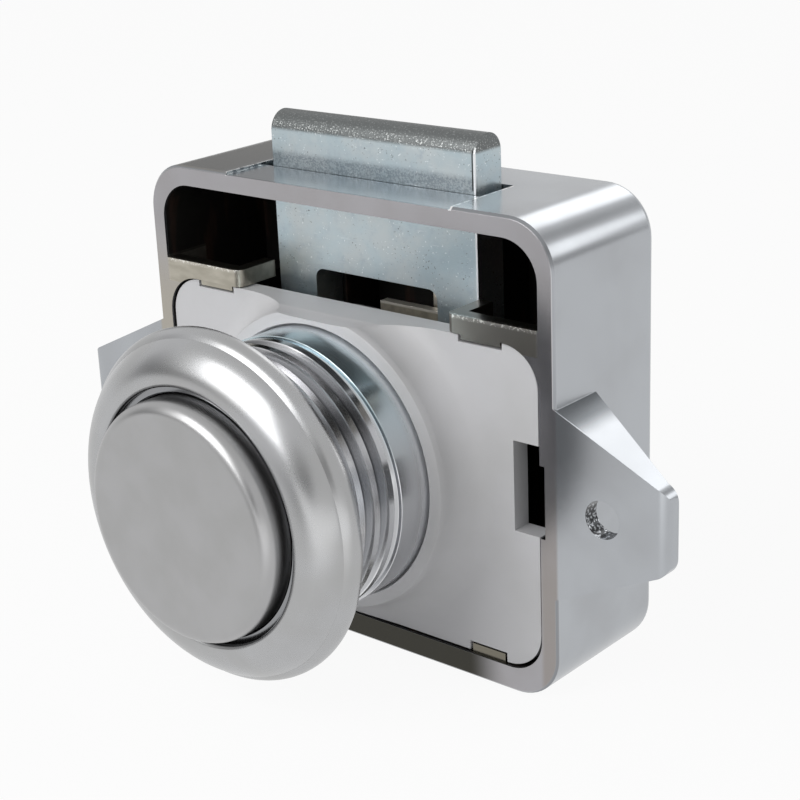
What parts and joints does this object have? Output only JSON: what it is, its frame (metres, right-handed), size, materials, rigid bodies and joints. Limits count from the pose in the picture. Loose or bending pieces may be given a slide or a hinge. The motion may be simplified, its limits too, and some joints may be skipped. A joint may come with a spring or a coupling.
{
  "type": "push button cabinet lock",
  "caption": "Surface-mounted push-button cabinet lock: shallow cast case with screw ears, white cover, threaded knob barrel with rosette, round button and a bolt that slides out of the top.",
  "frame": {"origin": "midpoint between the two ear holes on the mounting plane, which is also where the button's axis crosses it", "axes": "-Y along the button's axis towards the user, +Y into the cupboard, +Z the way the bolt stands out, +X along the line of the ear holes"},
  "size_m": [0.055, 0.0291, 0.0383],
  "materials": {
    "case_satin": "satin chromed zinc casting",
    "cover_white": "white moulded acetal, soft sheen",
    "knob_chrome": "bright chromed, turned",
    "knob_satin": "satin chrome",
    "bolt_zinc": "blue-passivated zinc",
    "nickel": "nickel-plated sheet",
    "steel": "plain steel",
    "plunger_plastic": "black acetal"
  },
  "bodies": {
    "case": {"housing": "case_satin", "cover_plate": "cover_white", "barrel": "knob_chrome", "barrel_washer": "steel", "barrel_ring": "steel", "latch_bracket": "nickel", "bracket_screws": "steel", "follower_spring": "steel", "spring_rivet": "steel", "button_spring": "steel", "spring_seat": "plunger_plastic"},
    "rosette": {"rosette": "knob_satin"},
    "button": {"button_cap": "knob_satin", "plunger": "plunger_plastic", "cap_screw": "steel", "drive_pins": "steel", "heart_cam": "steel", "cam_screws": "steel"},
    "bolt": {"bolt": "bolt_zinc"},
    "follower": {"follower": "steel", "follower_clip": "steel"}
  },
  "joints": [
    {"name": "button_slide", "type": "slide", "parent": "case", "child": "button", "axis": [0, -1, 0], "range_m": [-0.0008, 0.006], "deforming": ["button_spring"]},
    {"name": "bolt_slide", "type": "slide", "parent": "case", "child": "bolt", "axis": [0, 0, -1], "range_m": [-0.00062, 0.00461]},
    {"name": "follower_swing", "type": "hinge", "parent": "case", "child": "follower", "pos_m": [0, 0.0092, 0.0075], "axis": [0, 0, 1], "range_deg": [-2.4, 16.8]},
    {"name": "rosette_travel", "type": "slide", "parent": "case", "child": "rosette", "axis": [0, -1, 0], "range_m": [0, 0.001]}
  ],
  "couplings": [
    {"joint": "bolt_slide", "follows": "button_slide", "ratio": 0.76667},
    {"joint": "follower_swing", "follows": "button_slide", "rad_per_m": 48.287}
  ]
}
